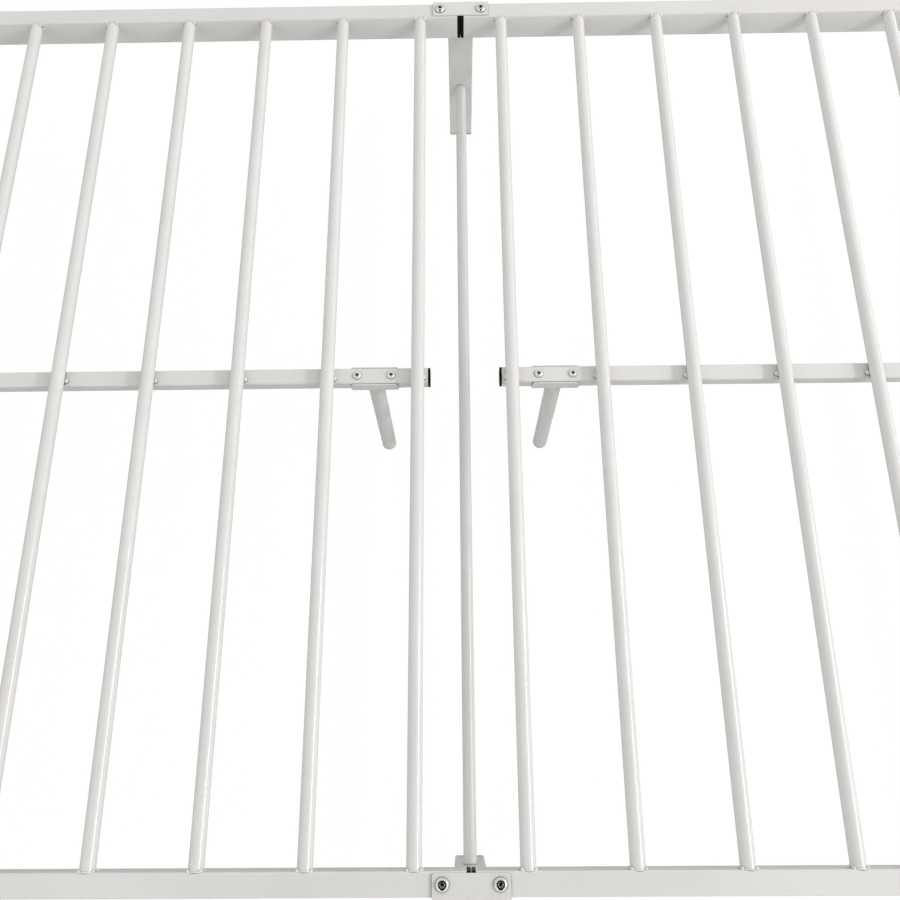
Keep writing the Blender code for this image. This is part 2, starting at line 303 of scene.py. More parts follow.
def plug(axis, face, toward, outline, thickness, depth, wall, place):
    """A moulded plug: a rounded flange with a shallow dish, and a body that enters the tube."""
    edge = PLUG_EDGE * thickness
    body = wall + TOUCH
    steps = (
        (DISH_WALLS[0] * wall, PLUG_DISH * thickness),
        (DISH_WALLS[1] * wall, 0.0),
        (edge, 0.0),
        (ARC_MIDDLE * edge, ARC_MIDDLE * edge),
        (0.0, edge),
        (0.0, thickness - ARC_MIDDLE * edge),
        (ARC_MIDDLE * edge, thickness),
        (body, thickness),
        (body, thickness + PLUG_STRAIGHT * depth),
        (body + PLUG_TAPER * wall, thickness + depth),
    )
    sections = [(outline(inset), face + toward * distance) for inset, distance in steps]
    return stack(axis, sections, place)


def bent_sheet(stations, thickness):
    """A sheet bent along X. A station is a point of its outer face, the way out, half a length."""
    count = SHEET_COLUMNS + 1
    points = []
    for layer in (0, thickness):
        for (y, z), (out_y, out_z), half in stations:
            for column in range(count):
                x = half * (2 * column / SHEET_COLUMNS - 1)
                points.append(Vector((x, y - layer * out_y, z - layer * out_z)))
    faces = []
    rows = len(stations)
    behind = rows * count
    for row in range(rows - 1):
        for column in range(SHEET_COLUMNS):
            corner = row * count + column
            quad = (corner, corner + 1, corner + count + 1, corner + count)
            faces.append(quad)
            faces.append(tuple(behind + index for index in reversed(quad)))
        for start in (row * count, row * count + SHEET_COLUMNS):
            faces.append((start, start + count, behind + start + count, behind + start))
    for column in range(SHEET_COLUMNS):
        for start in (column, (rows - 1) * count + column):
            faces.append((start, start + 1, behind + start + 1, behind + start))
    return points, faces


# ---------------------------------------------------------------- pieces

def build_mesh(name, solids):
    """One mesh from closed solids, with every face turned outwards."""
    points = []
    faces = []
    for solid_points, solid_faces in solids:
        first = len(points)
        points.extend(solid_points)
        faces.extend(tuple(first + index for index in face) for face in solid_faces)
    mesh = bpy.data.meshes.new(name)
    mesh.from_pydata(points, [], faces)
    work = bmesh.new()
    work.from_mesh(mesh)
    bmesh.ops.recalc_face_normals(work, faces=work.faces)
    work.to_mesh(mesh)
    work.free()
    mesh.shade_smooth()
    mesh.set_sharp_from_angle(angle=FLAT_ANGLE)
    return mesh


def add_piece(name, solids, finish, stands_for=(), place=(0, 0, 0), edge=0.0):
    """A piece that rides on the frame, with its finish, softened edges and flat faces kept flat."""
    material, slot = FINISHES[finish]
    mesh = build_mesh(name, solids)
    mesh.materials.append(material)
    piece = bpy.data.objects.new(name, mesh)
    piece.location = place
    bpy.context.scene.collection.objects.link(piece)
    if edge:
        soften = piece.modifiers.new("soft_edges", "BEVEL")
        soften.width = edge
        soften.segments = BEVEL_STEPS
        soften.limit_method = "ANGLE"
        soften.angle_limit = FLAT_ANGLE
    shading = piece.modifiers.new("flat_faces", "WEIGHTED_NORMAL")
    shading.keep_sharp = not edge
    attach(piece, "root")
    if stands_for:
        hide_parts(*stands_for)


def middle(node):
    """The middle of a CAD node's box."""
    low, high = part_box(node)
    return (low + high) / 2


def size(node):
    """The sides of a CAD node's box."""
    low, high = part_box(node)
    return high - low


def inner_end(low, high, way):
    """Which of two ends is nearer the middle of the bed, for a side's or a row's way."""
    return low if way > 0 else high


def outer_end(low, high, way):
    """Which of two ends is further from the middle of the bed."""
    return high if way > 0 else low


# ---------------------------------------------------------------- deck

def add_side_rail(label, row_name, side, row):
    node = f"{label}_{row_name}_side_rail"
    low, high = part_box(node)
    extent = size(node)
    outline = box_outline(extent.y, extent.z, RAIL_CORNER)
    near = inner_end(low.x, high.x, side)
    far = outer_end(low.x, high.x, side) - side * extent.y / 2
    place = middle(node)
    place.x = 0
    solid = tube("X", near, far, outline, RAIL_WALL, place, mitres=(0.0, side * row))
    add_piece(f"{label}_{row_name}_rail_tube", [solid], "powder", [node])


def add_rail_plug(label, row_name, side):
    node = f"{label}_{row_name}_rail_cap"
    low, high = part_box(node)
    rail_low, rail_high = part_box(f"{label}_{row_name}_side_rail")
    extent = size(node)
    outline = box_outline(extent.y, extent.z, RAIL_CORNER)
    face = inner_end(low.x, high.x, side)
    thickness = abs(inner_end(rail_low.x, rail_high.x, side) - face)
    place = middle(node)
    place.x = 0
    solid = plug("X", face, side, outline, thickness, extent.x - thickness, RAIL_WALL, place)
    add_piece(f"{label}_{row_name}_rail_plug", [solid], "black", [node])


def add_end_rail(label, side):
    node = f"{label}_end_rail"
    extent = size(node)
    outline = box_outline(extent.x, extent.z, RAIL_CORNER)
    half_span = (extent.y - extent.x) / 2
    place = middle(node)
    place.y = 0
    mitres = (-side, side)
    solid = tube("Y", -half_span, half_span, outline, RAIL_WALL, place, mitres)
    add_piece(f"{label}_end_rail_tube", [solid], "powder", [node])


def add_cross_tube(name, node):
    """A round tube from the front to the back, which closes the CAD's gaps at its ends."""
    low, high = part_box(node)
    place = middle(node)
    place.y = 0
    outline = round_outline(high.z - low.z)
    solid = tube("Y", low.y - TOUCH, high.y + TOUCH, outline, THIN_WALL, place)
    add_piece(name, [solid], "powder", [node])


def add_middle_beam(label, side):
    beam = f"{label}_mid_beam"
    low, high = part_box(beam)
    outline = box_outline(high.y - low.y, high.z - low.z, BEAM_CORNER)
    near = inner_end(low.x, high.x, side) - side * BEAM_OVERLAP
    far = outer_end(low.x, high.x, side)
    place = middle(beam)
    place.x = 0
    solid = tube("X", near, far, outline, THIN_WALL, place)
    add_piece(f"{label}_middle_beam", [solid], "powder", [beam])

    cap = f"{label}_mid_beam_cap"
    cap_low, cap_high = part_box(cap)
    face = inner_end(cap_low.x, cap_high.x, side)
    thickness = abs(near - face)
    depth = size(cap).x - thickness
    solid = plug("X", face, side, outline, thickness, depth, THIN_WALL, place)
    add_piece(f"{label}_middle_beam_plug", [solid], "black", [cap])


# ---------------------------------------------------------------- bent sheet parts

def arc_stations(centre, radius, start, end, half):
    """Stations round a bend, from one angle to another, in degrees from +Y up to +Z."""
    stations = []
    for step in range(BEND_STEPS + 1):
        angle = radians(start + (end - start) * step / BEND_STEPS)
        out = (cos(angle), sin(angle))
        point = (centre[0] + radius * out[0], centre[1] + radius * out[1])
        stations.append((point, out, half))
    return stations


def plate_stations(inner, outer, top, bottom, half):
    """An L over a rail, from its free edge on top to the foot of its outer flange."""
    stations = []
    for step in range(BEND_STEPS + 1):
        angle = radians(90 * step / BEND_STEPS)
        back = PLATE_CORNER * (1 - cos(angle))
        length = half - PLATE_CORNER * (1 - sin(angle))
        stations.append(((inner + back, top), (0.0, 1.0), length))
    bend_centre = (outer - PLATE_BEND, top - PLATE_BEND)
    stations += arc_stations(bend_centre, PLATE_BEND, 90, 0, half)
    slope_top = top - PLATE_END_DROP
    narrowing = (half - PLATE_FOOT_HALF) / (slope_top - bottom)
    for height in (top - PLATE_END_DROP / 2, slope_top, slope_top - PLATE_SLOPE_START):
        length = half - narrowing * max(slope_top - height, 0.0)
        stations.append(((outer, height), (1.0, 0.0), length))
    for step in range(BEND_STEPS + 1):
        angle = radians(90 * step / BEND_STEPS)
        height = bottom + PLATE_CORNER * (1 - sin(angle))
        length = half - narrowing * (slope_top - height)
        length -= PLATE_CORNER / 2 * (1 - cos(angle))
        stations.append(((outer, height), (1.0, 0.0), length))
    return stations


def add_joint_plate(row_name, row):
    node = f"{row_name}_joint_plate"
    low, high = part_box(node)
    inner, outer = sorted((abs(low.y), abs(high.y)))
    stations = []
    for (y, z), (out_y, out_z), half in plate_stations(inner, outer, high.z, low.z, high.x):
        stations.append(((row * y, z), (row * out_y, out_z), half))
    sheet = bent_sheet(stations, PLATE_THICKNESS)
    add_piece(f"{row_name}_joining_plate", [sheet], "powder", [node], edge=SHEET_EDGE)


def saddle_stations(low, high, half):
    """A U round the middle beam, from the top of one flange to the top of the other."""
    side = high.y
    stations = [
        ((side, high.z), (1.0, 0.0), half - SADDLE_CHAMFER),
        ((side, high.z - SADDLE_CHAMFER), (1.0, 0.0), half),
    ]
    centre = (side - SADDLE_BEND, low.z + SADDLE_BEND)
    stations += arc_stations(centre, SADDLE_BEND, 0, -90, half)
    centre = (-side + SADDLE_BEND, low.z + SADDLE_BEND)
    stations += arc_stations(centre, SADDLE_BEND, -90, -180, half)
    stations += [
        ((-side, high.z - SADDLE_CHAMFER), (-1.0, 0.0), half),
        ((-side, high.z), (-1.0, 0.0), half - SADDLE_CHAMFER),
    ]
    return stations


def add_saddle(label):
    node = f"{label}_leg_saddle"
    low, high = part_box(node)
    half = (high.x - low.x) / 2
    sheet = bent_sheet(saddle_stations(low, high, half), SADDLE_THICKNESS)
    place = (middle(node).x, 0, 0)
    add_piece(f"{label}_saddle", [sheet], "powder", [node], place=place, edge=SHEET_EDGE)


# ---------------------------------------------------------------- bolts

# The socket from its floor up: an outline, its share of the key's width, of the head's height
SOCKET = (
    (circle, 0.40, 0.06),
    (hexagon, 0.96, 0.20),
    (hexagon, 1.00, 0.95),
    (circle, 1.17, 1.00),
)


def domed_head(bolt):
    """Sections of a low domed head with a hexagon socket, from the socket's floor to its rim."""
    head = bolt["head"]
    height = bolt["height"]
    land = bolt["land"]
    sections = [(shape(wide * bolt["key"]), up * height) for shape, wide, up in SOCKET]
    sections.append((circle(land), height))
    flat, steep = [radians(slope) for slope in DOME_SLOPES]
    for step in range(1, DOME_STEPS + 1):
        slope = flat + (steep - flat) * step / DOME_STEPS
        out = (sin(slope) - sin(flat)) / (sin(steep) - sin(flat))
        down = (cos(flat) - cos(slope)) / (cos(flat) - cos(steep))
        drop = height * (1 - DOME_FOOT) * down
        sections.append((circle(land + (head - land) * out), height - drop))
    sections.append((circle(head), HEAD_FOOT * height))
    sections.append((circle(head - 2 * HEAD_CHAMFER), 0.0))
    return sections


def add_bolt(name, node, bolt, finish):
    low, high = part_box(node)
    place = middle(node)
    place.z = high.z - bolt["height"]
    shank = bolt["shank"]
    tip = low.z - place.z
    sections = domed_head(bolt)
    sections.append((circle(shank), 0.0))
    sections.append((circle(shank), tip + SHANK_CHAMFER))
    sections.append((circle(shank - 2 * SHANK_CHAMFER), tip))
    solid = stack("Z", sections, Vector())
    add_piece(name, [solid], finish, [node], place=place)


# ---------------------------------------------------------------- legs

def add_leg(name, node, foot_name, foot):
    low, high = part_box(node)
    foot_low, foot_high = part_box(foot)
    outline = box_outline(high.x - low.x, high.y - low.y, LEG_CORNER)
    end = foot_low.z + FOOT_FLANGE
    place = middle(node)
    place.z = 0
    solid = tube("Z", end, high.z + TOUCH, outline, RAIL_WALL, place)
    add_piece(name, [solid], "powder", [node])
    solid = plug("Z", foot_low.z, 1, outline, FOOT_FLANGE, foot_high.z - end, RAIL_WALL, place)
    add_piece(foot_name, [solid], "black", [foot])


def add_mid_leg(label):
    node = f"{label}_mid_leg"
    foot = f"{label}_mid_foot"
    low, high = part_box(node)
    foot_low, foot_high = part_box(foot)
    outline = round_outline(high.x - low.x)
    place = middle(node)
    place.z = 0
    solid = tube("Z", low.z, high.z + TOUCH, outline, RAIL_WALL, place)
    add_piece(f"{label}_round_leg", [solid], "powder", [node])
    thickness = low.z - foot_low.z
    depth = foot_high.z - low.z
    solid = plug("Z", foot_low.z, 1, outline, thickness, depth, RAIL_WALL, place)
    add_piece(f"{label}_round_foot", [solid], "pale", [foot])


# ---------------------------------------------------------------- welds

def ripple(travel, phase):
    """The width of a bead at a distance along it, as each drop freezes over the last."""
    wave = sin(2 * pi * travel / RIPPLE_LENGTH + phase)
    return 1 + RIPPLE_DEPTH * wave + chance.uniform(-RIPPLE_CHANCE, RIPPLE_CHANCE)


def bead(path, radius, joined=False):
    """A weld bead along (point, first way across, second way across) triples."""
    phase = chance.uniform(0, 2 * pi)
    rings = []
    travel = 0.0
    last = len(path) - 1
    for index, (point, first, second) in enumerate(path):
        if index:
            travel += (point - path[index - 1][0]).length
        share = 2 * index / last - 1
        taper = 1.0 if joined else sqrt(max(1 - share ** BEAD_END_POWER, BEAD_END_AREA))
        reach = radius * taper * ripple(travel, phase)
        ring = []
        for step in range(BEAD_SIDES):
            angle = 2 * pi * step / BEAD_SIDES
            ring.append(point + reach * (cos(angle) * first + sin(angle) * second))
        rings.append(ring)
    return skin(rings, joined)


def arc_path(axis, centre, radius, start, end, steps):
    """A path round an axis, from one angle to another in degrees, for a bead."""
    path = []
    forward = along(axis, 0, 0, 1)
    for step in range(steps + 1):
        angle = radians(start + (end - start) * step / steps)
        out = along(axis, cos(angle), sin(angle), 0)
        path.append((centre + radius * out, out, forward))
    return path


def ring_path(axis, centre, radius):
    return arc_path(axis, centre, radius, 0, 360, ROUND_SIDES)[:-1]


def line_path(start, end, first, second):
    """A straight path, with three points or so to each ripple."""
    steps = max(6, round((end - start).length / (RIPPLE_LENGTH / 3)))
    return [(start.lerp(end, step / steps), first, second) for step in range(steps + 1)]


def slat_end_beads(node, row):
    """The fine fillet round a slat where it meets a rail, with two lumps of weld on each side."""
    low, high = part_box(node)
    centre = middle(node)
    centre.y = outer_end(low.y, high.y, row) + row * TOUCH
    radius = (high.z - low.z) / 2
    beads = [bead(ring_path("Y", centre, radius), SLAT_FILLET, True)]
    for facing, upward in ((0, 1), (180, -1)):
        for angle, reach in SLAT_BEADS:
            aim = facing + upward * (angle + chance.uniform(-SLAT_AIM_CHANCE, SLAT_AIM_CHANCE))
            half = reach * chance.uniform(*SLAT_REACH_CHANCE)
            path = arc_path("Y", centre, radius, aim - half, aim + half, SLAT_BEAD_STEPS)
            beads.append(bead(path, SLAT_BEAD * chance.uniform(*SLAT_WIDTH_CHANCE)))
    return beads


def add_slat_welds(label, row_name, row):
    beads = []
    for number in range(1, SLATS_PER_HALF + 1):
        beads += slat_end_beads(f"{label}_slat_{number}", row)
    add_piece(f"{label}_{row_name}_slat_welds", beads, "powder")


def tack(centre, out):
    """A short blob of weld in the corner between a slat and the beam under it."""
    rings = []
    for step in range(TACK_STEPS + 1):
        share = 2 * step / TACK_STEPS - 1
        taper = sqrt(max(1 - share * share, TACK_END_AREA))
        reach = TACK_RADIUS * taper * chance.uniform(*TACK_CHANCE)
        point = centre + Vector((0, share * TACK_LENGTH / 2, 0))
        ring = []
        for side in range(BEAD_SIDES):
            angle = 2 * pi * side / BEAD_SIDES
            across = cos(angle) * reach * TACK_SPREAD * out
            ring.append(point + Vector((across, 0, sin(angle) * reach)))
        rings.append(ring)
    return skin(rings)


def add_beam_tacks(label, side):
    """One tack on each slat, on the side that faces the middle of the bed."""
    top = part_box(f"{label}_mid_beam")[1].z
    out = -side
    tacks = []
    for number in range(1, SLATS_PER_HALF + 1):
        slat = f"{label}_slat_{number}"
        off = TACK_OUT * size(slat).x / 2 + chance.uniform(-TACK_OUT_CHANCE, TACK_OUT_CHANCE)
        y = -TACK_FORWARD + chance.uniform(-TACK_FORWARD_CHANCE, TACK_FORWARD_CHANCE)
        centre = Vector((middle(slat).x + out * off, y, top + TACK_UP))
        tacks.append(tack(centre, out))
    add_piece(f"{label}_beam_tacks", tacks, "powder")


def inner_leg_bead(low, high, row):
    """The bead along the top of a leg's inner face, where a plate covers the outer one."""
    face = inner_end(low.y, high.y, row)
    start = Vector((low.x + LEG_CORNER, face, high.z))
    end = Vector((high.x - LEG_CORNER, face, high.z))
    path = line_path(start, end, Vector((0, -row, 0)), Vector((0, 0, 1)))
    return bead(path, SEAM_BEAD)


def leg_top_beads(low, high):
    """Beads along the top of all four faces of a leg."""
    centre = (low + high) / 2
    reach = (high - low) / 2
    beads = []
    for way in ((1, 0), (-1, 0), (0, 1), (0, -1)):
        out = Vector((*way, 0))
        across = Vector((abs(out.y), abs(out.x), 0))
        face = centre + out * (abs(reach.dot(out)) - LEG_BEAD_SUNK)
        face.z = high.z + LEG_BEAD_SUNK / 2
        half = across * (reach.dot(across) - LEG_CORNER / 2)
        path = line_path(face - half, face + half, out, Vector((0, 0, 1)))
        beads.append(bead(path, LEG_BEAD))
    return beads


def add_leg_welds(leg, stretcher, row, all_round):
    """A bead on each side of the stretcher's end, and those at the top of the leg."""
    low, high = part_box(leg)
    centre = middle(stretcher)
    centre.y = inner_end(low.y, high.y, row)
    radius = size(stretcher).z / 2
    beads = []
    for aim in STRETCHER_BEADS:
        start = aim - STRETCHER_BEAD_REACH
        end = aim + STRETCHER_BEAD_REACH
        path = arc_path("Y", centre, radius, start, end, STRETCHER_BEAD_STEPS)
        beads.append(bead(path, RING_BEAD))
    beads += leg_top_beads(low, high) if all_round else [inner_leg_bead(low, high, row)]
    add_piece(f"{leg}_welds", beads, "powder")


def add_saddle_weld(label):
    low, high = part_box(f"{label}_mid_leg")
    centre = (low + high) / 2
    centre.z = high.z
    ring = bead(ring_path("Z", centre, (high.x - low.x) / 2), RING_BEAD, True)
    add_piece(f"{label}_round_leg_weld", [ring], "powder")


def add_plate_welds(row_name, row):
    """Beads where the centre leg meets the plate's outer flange."""
    leg_low, leg_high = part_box(f"{row_name}_centre_leg")
    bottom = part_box(f"{row_name}_joint_plate")[0].z
    face = outer_end(leg_low.y, leg_high.y, row)
    out = Vector((0, row, 0))
    foot = Vector((PLATE_FOOT_HALF - PLATE_CORNER, 0, 0))
    under = Vector((0, face, bottom))
    path = line_path(under - foot, under + foot, out, Vector((0, 0, -1)))
    beads = [bead(path, RING_BEAD)]
    for x, way in ((leg_low.x, -1), (leg_high.x, 1)):
        start = Vector((x, face, bottom + PLATE_BEAD_START))
        end = Vector((x, face, leg_high.z - PLATE_BEAD_END))
        beads.append(bead(line_path(start, end, Vector((way, 0, 0)), -out), RING_BEAD))
    add_piece(f"{row_name}_plate_welds", beads, "powder")


def mitre_seam(corner, side, row, extent):
    """The ground-down bead round a mitre, as a path that follows the tube's outline."""
    outline = box_outline(extent.y, extent.z, RAIL_CORNER)
    through = Vector((side, -row, 0)).normalized()
    path = []
    for (across, up), (outer_across, outer_up) in zip(outline(DRESSED_SUNK), outline(0)):
        point = corner + Vector((side * across, row * across, up))
        surface = corner + Vector((side * outer_across, row * outer_across, outer_up))
        path.append((point, (surface - point).normalized(), through))
    return path


def add_corner_welds(label, side):
    """The fillet in the inside corner of each mitre, and the dressed seam round it."""
    end_low, end_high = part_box(f"{label}_end_rail")
    inner_x = inner_end(end_low.x, end_high.x, side)
    beads = []
    for row_name, row in ROWS.items():
        rail = f"{label}_{row_name}_side_rail"
        rail_low, rail_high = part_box(rail)
        inner_y = inner_end(rail_low.y, rail_high.y, row)
        start = Vector((inner_x, inner_y, rail_low.z + RAIL_CORNER))
        end = Vector((inner_x, inner_y, rail_high.z - RAIL_CORNER))
        path = line_path(start, end, Vector((-side, 0, 0)), Vector((0, -row, 0)))
        beads.append(bead(path, SEAM_BEAD))
        corner = middle(rail)
        corner.x = (end_low.x + end_high.x) / 2
        beads.append(bead(mitre_seam(corner, side, row, size(rail)), DRESSED_BEAD, True))
    add_piece(f"{label}_corner_welds", beads, "powder")


# ---------------------------------------------------------------- shader nodes

def new_finish(name):
    material = bpy.data.materials.new(name)
    material.use_nodes = True
    tree = material.node_tree
    return material, tree, tree.nodes["Principled BSDF"]


def add_node(tree, kind, operation=None, **values):
    """A node with its inputs set by name, underscores standing for spaces."""
    node = tree.nodes.new(kind)
    if operation:
        node.operation = operation
    for name, value in values.items():
        node.inputs[name.replace("_", " ")].default_value = value
    return node


def add_noise(tree, scale, detail):
    """Noise over the piece's own space, in cycles a metre."""
    place = add_node(tree, "ShaderNodeTexCoord")
    texture = add_node(tree, "ShaderNodeTexNoise", Scale=scale, Detail=detail, Roughness=0.55)
    tree.links.new(place.outputs["Object"], texture.inputs["Vector"])
    return texture.outputs["Fac"]


def remap(tree, source, start, end, low, high, smooth=False):
    """A value between start and end, carried to the same share between low and high."""
    ranged = add_node(
        tree, "ShaderNodeMapRange", From_Min=start, From_Max=end, To_Min=low, To_Max=high)
    if smooth:
        ranged.interpolation_type = "SMOOTHSTEP"
    tree.links.new(source, ranged.inputs["Value"])
    return ranged.outputs["Result"]


def spread(tree, source, low, high):
    """Noise, whose values keep near a half, spread over a range."""
    return remap(tree, source, *NOISE_RANGE, low, high)


def multiply(tree, first, second):
    product = add_node(tree, "ShaderNodeMath", "MULTIPLY")
    tree.links.new(first, product.inputs[0])
    tree.links.new(second, product.inputs[1])
    return product.outputs["Value"]


def scale_value(tree, source, factor):
    product = add_node(tree, "ShaderNodeMath", "MULTIPLY")
    product.inputs[1].default_value = factor
    tree.links.new(source, product.inputs[0])
    return product.outputs["Value"]


def mix_shaders(tree, share, first, second):
    """The first shader, giving way to the second as the share goes from 0 to 1."""
    mixed = add_node(tree, "ShaderNodeMixShader")
    tree.links.new(share, mixed.inputs["Fac"])
    tree.links.new(first, mixed.inputs[1])
    tree.links.new(second, mixed.inputs[2])
    return mixed.outputs["Shader"]


def seen_directly(tree):
    """1 where the camera looks straight at a surface or the sky, 0 for their light."""
    return add_node(tree, "ShaderNodeLightPath").outputs["Is Camera Ray"]


def tint(tree, source, first, second):
    """A colour between two, as the source goes from 0 to 1."""
    mixed = tree.nodes.new("ShaderNodeMix")
    mixed.data_type = "RGBA"
    colour_a, colour_b = [item for item in mixed.inputs if item.type == "RGBA"]
    colour_a.default_value = (*first, 1)
    colour_b.default_value = (*second, 1)
    tree.links.new(source, mixed.inputs["Factor"])
    return [item for item in mixed.outputs if item.type == "RGBA"][0]


def relief(tree, source, height, under=None):
    """Bumps of a height in metres, over another relief if there is one."""
    bumps = add_node(tree, "ShaderNodeBump", Strength=1.0, Distance=height)
    tree.links.new(source, bumps.inputs["Height"])
    if under is not None:
        tree.links.new(under, bumps.inputs["Normal"])
    return bumps.outputs["Normal"]


def painted_crevice_shade(tree, colour, reach, closed, darkest):
    """Painted shade: the colour darkened where another surface stands within reach and light can't
    get in.
    """
    nearby = add_node(tree, "ShaderNodeAmbientOcclusion", Distance=reach)
    nearby.samples = CREVICE_SAMPLES
    openness = nearby.outputs["AO"]
    kept = remap(tree, openness, closed, closed + CREVICE_BLEND, darkest, 1.0)
    shaded_colour = add_node(tree, "ShaderNodeVectorMath", "SCALE")
    tree.links.new(colour, shaded_colour.inputs[0])
    tree.links.new(kept, shaded_colour.inputs["Scale"])
    return shaded_colour.outputs["Vector"]


def turned_rings(tree, pitch):
    """Rings round the piece's own upright axis, as a lathe leaves them."""
    place = add_node(tree, "ShaderNodeTexCoord")
    flat = add_node(tree, "ShaderNodeVectorMath", "MULTIPLY")
    flat.inputs[1].default_value = (1, 1, 0)
    tree.links.new(place.outputs["Object"], flat.inputs[0])
    distance = add_node(tree, "ShaderNodeVectorMath", "LENGTH")
    tree.links.new(flat.outputs["Vector"], distance.inputs[0])
    turns = scale_value(tree, distance.outputs["Value"], 2 * pi / pitch)
    wave = add_node(tree, "ShaderNodeMath", "SINE")
    tree.links.new(turns, wave.inputs[0])
    return wave.outputs["Value"]


# ---------------------------------------------------------------- finishes

def make_powder_coat():
    """Warm white polyester powder: satin, with orange peel, a slightly uneven coat and painted
    shade in its crevices.
    """
    material, tree, shader = new_finish("white_powder_coat")
    slow = spread(tree, add_noise(tree, scale=9.0, detail=3.0), 0.0, 1.0)
    colour = tint(tree, slow, (0.755, 0.742, 0.718), (0.790, 0.777, 0.753))
    # painted shade: the colour darkened at contact lines and in crevices
    shaded_colour = painted_crevice_shade(tree, colour, reach=0.0035, closed=0.34, darkest=0.20)
    tree.links.new(shaded_colour, shader.inputs["Base Color"])
    shader.inputs["Specular IOR Level"].default_value = 0.62
    uneven = spread(tree, add_noise(tree, scale=60.0, detail=3.0), low=0.14, high=0.19)
    tree.links.new(uneven, shader.inputs["Roughness"])
    waves = relief(tree, add_noise(tree, scale=45.0, detail=1.0), height=0.00005)
    peel = relief(tree, add_noise(tree, scale=520.0, detail=2.0), height=0.000007, under=waves)
    tree.links.new(peel, shader.inputs["Normal"])
    return material


def make_black_plastic():
    """Moulded black plastic with a fine sparked grain."""
    material, tree, shader = new_finish("black_plastic")
    slow = spread(tree, add_noise(tree, scale=40.0, detail=2.0), 0.0, 1.0)
    colour = tint(tree, slow, (0.006, 0.006, 0.007), (0.011, 0.011, 0.012))
    tree.links.new(colour, shader.inputs["Base Color"])
    shader.inputs["Specular IOR Level"].default_value = 0.05
    uneven = spread(tree, add_noise(tree, scale=300.0, detail=2.0), low=0.38, high=0.50)
    tree.links.new(uneven, shader.inputs["Roughness"])
    grain = relief(tree, add_noise(tree, scale=1600.0, detail=2.0), height=0.00002)
    tree.links.new(grain, shader.inputs["Normal"])
    return material


def make_pale_plastic():
    """Natural nylon for the round feet: pale, waxy and a little mottled."""
    material, tree, shader = new_finish("pale_plastic")
    slow = spread(tree, add_noise(tree, scale=120.0, detail=3.0), 0.0, 1.0)
    colour = tint(tree, slow, (0.62, 0.60, 0.55), (0.69, 0.67, 0.62))
    tree.links.new(colour, shader.inputs["Base Color"])
    uneven = spread(tree, add_noise(tree, scale=250.0, detail=2.0), low=0.40, high=0.52)
    tree.links.new(uneven, shader.inputs["Roughness"])
    grain = relief(tree, add_noise(tree, scale=900.0, detail=2.0), height=0.00002)
    tree.links.new(grain, shader.inputs["Normal"])
    return material


def make_plated(name, rough, dull, bright):
    """Plating over turned steel: faint rings, clouded gloss, and painted shade darkening its socket
    and where it meets other parts. Rough is a range of roughness.
    """
    material, tree, shader = new_finish(name)
    shader.inputs["Metallic"].default_value = 1.0
    slow = spread(tree, add_noise(tree, scale=260.0, detail=3.0), 0.0, 1.0)
    colour = tint(tree, slow, dull, bright)
    # painted shade: the colour darkened nearly to black in the socket and at contact lines
    shaded_colour = painted_crevice_shade(tree, colour, reach=0.005, closed=0.38, darkest=0.02)
    tree.links.new(shaded_colour, shader.inputs["Base Color"])
    cloud = spread(tree, add_noise(tree, scale=500.0, detail=3.0), *rough)
    tree.links.new(cloud, shader.inputs["Roughness"])
    rings = relief(tree, turned_rings(tree, pitch=0.0004), height=0.0000015)
    tree.links.new(rings, shader.inputs["Normal"])
    return material


powder = make_powder_coat()
black = make_black_plastic()
pale = make_pale_plastic()
bright_plate = make_plated("bright_nickel", (0.05, 0.10), (0.66, 0.65, 0.63), (0.76, 0.75, 0.73))
satin_plate = make_plated("satin_nickel", (0.28, 0.38), (0.84, 0.83, 0.81), (0.92, 0.91, 0.89))

# Each finish with the record's material slot that it belongs to
FINISHES = {
    "powder": (powder, "white_powder_coat"),
    "black": (black, "black_plastic"),
    "pale": (pale, "pale_plastic"),
    "bright": (bright_plate, "nickel_plate"),
    "satin": (satin_plate, "nickel_plate"),
}


# ---------------------------------------------------------------- the whole object

def add_corner_leg(label, row_name, row):
    corner = f"{label}_{row_name}_corner"
    leg = f"{corner}_leg"
    add_leg(f"{leg}_tube", leg, f"{corner}_glide", f"{corner}_foot")
    add_leg_welds(leg, f"{label}_end_stretcher", row, all_round=True)


def add_half(label, side):
    for row_name, row in ROWS.items():
        add_side_rail(label, row_name, side, row)
        add_rail_plug(label, row_name, side)
        add_slat_welds(label, row_name, row)
        add_corner_leg(label, row_name, row)
    add_end_rail(label, side)
    for number in range(1, SLATS_PER_HALF + 1):
        add_cross_tube(f"{label}_slat_tube_{number}", f"{label}_slat_{number}")
    add_middle_beam(label, side)
    add_beam_tacks(label, side)
    add_saddle(label)
    add_saddle_weld(label)
    for end in ("inner", "outer"):
        node = f"{label}_saddle_screw_{end}"
        add_bolt(f"{label}_beam_screw_{end}", node, SADDLE_SCREW, "satin")
    add_mid_leg(label)
    add_cross_tube(f"{label}_end_stretcher_tube", f"{label}_end_stretcher")
    add_corner_welds(label, side)


def add_centre_frame():
    for row_name, row in ROWS.items():
        add_joint_plate(row_name, row)
        for label in SIDES:
            node = f"{row_name}_plate_bolt_{label}"
            add_bolt(f"{row_name}_plate_bolt_head_{label}", node, PLATE_BOLT, "bright")
        leg = f"{row_name}_centre_leg"
        add_leg(f"{leg}_tube", leg, f"{row_name}_centre_glide", f"{row_name}_centre_foot")
        add_leg_welds(leg, "centre_stretcher", row, all_round=False)
        add_plate_welds(row_name, row)
    add_cross_tube("centre_stretcher_tube", "centre_stretcher")


# ---------------------------------------------------------------- studio

